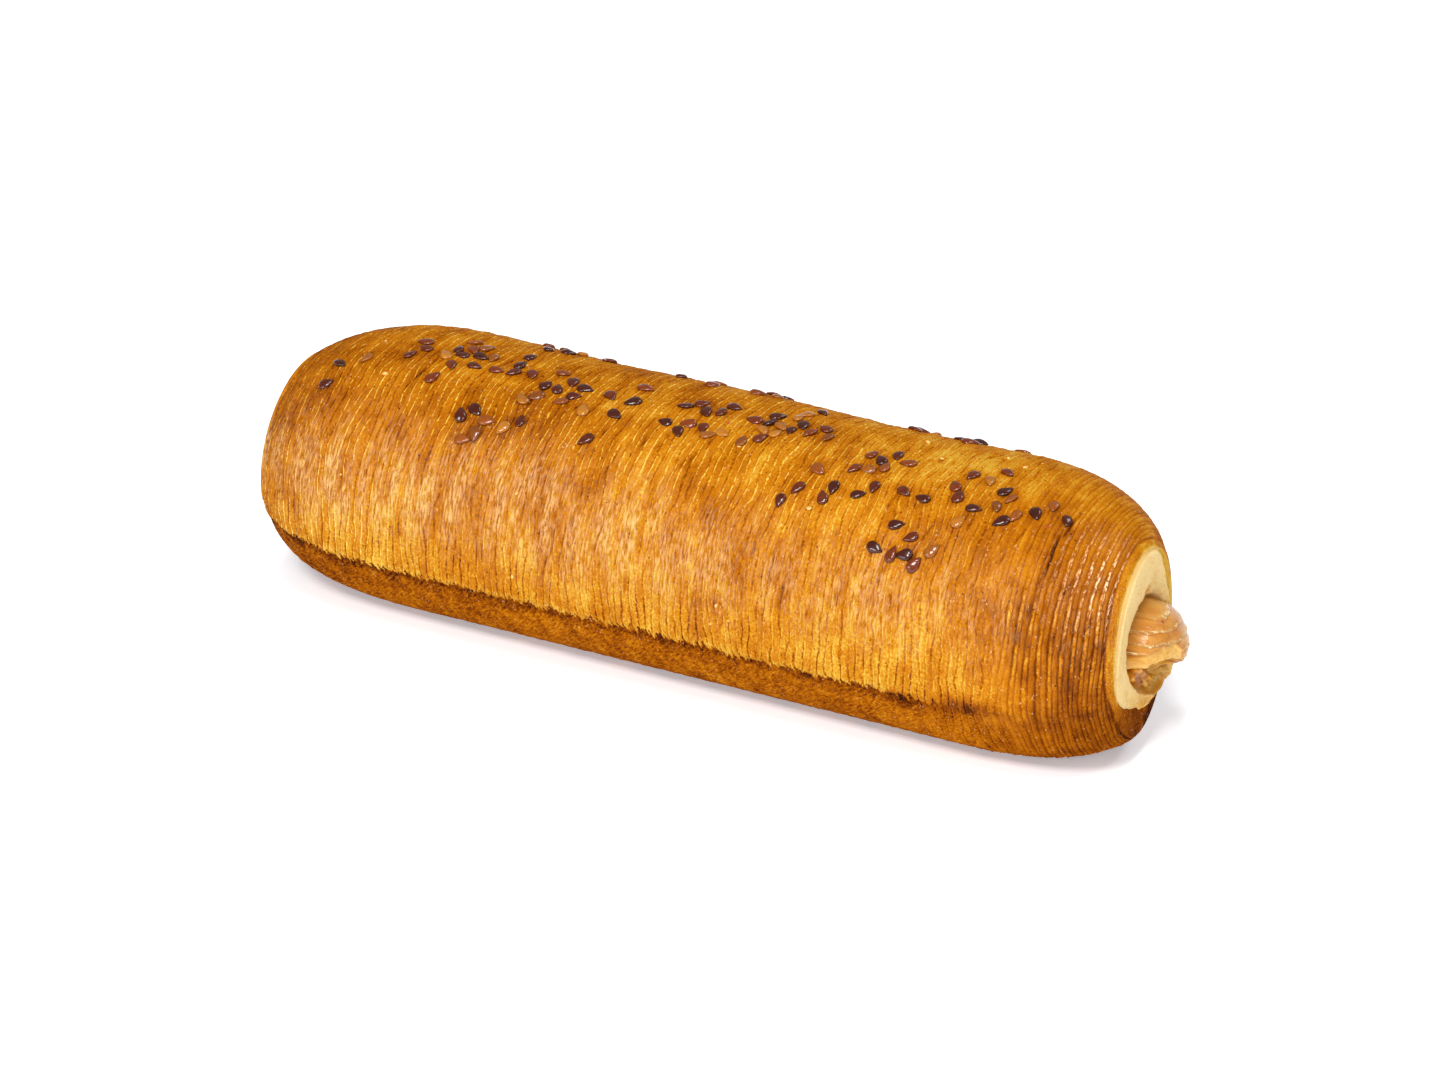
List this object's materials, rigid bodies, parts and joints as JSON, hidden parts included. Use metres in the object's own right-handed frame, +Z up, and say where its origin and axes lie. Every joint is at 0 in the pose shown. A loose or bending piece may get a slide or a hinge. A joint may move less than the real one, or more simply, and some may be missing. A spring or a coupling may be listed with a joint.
{
  "type": "cheese croissant roll",
  "caption": "Long baked pastry roll of coiled, ridged dough with a domed sesame top, a flat foot, and cheese showing in a pocket at each end.",
  "frame": {"origin": "on the surface it rests on, under the middle of the roll's bounding box", "axes": "+X along the roll, towards the end with the longer nose; +Y towards the back; +Z up"},
  "size_m": [0.1852, 0.0592, 0.0494],
  "materials": {
    "baked_crust": null,
    "melted_cheese": null
  },
  "bodies": {
    "root": {"pastry_dough": "baked_crust", "cheese_filling": "melted_cheese"}
  },
  "joints": []
}
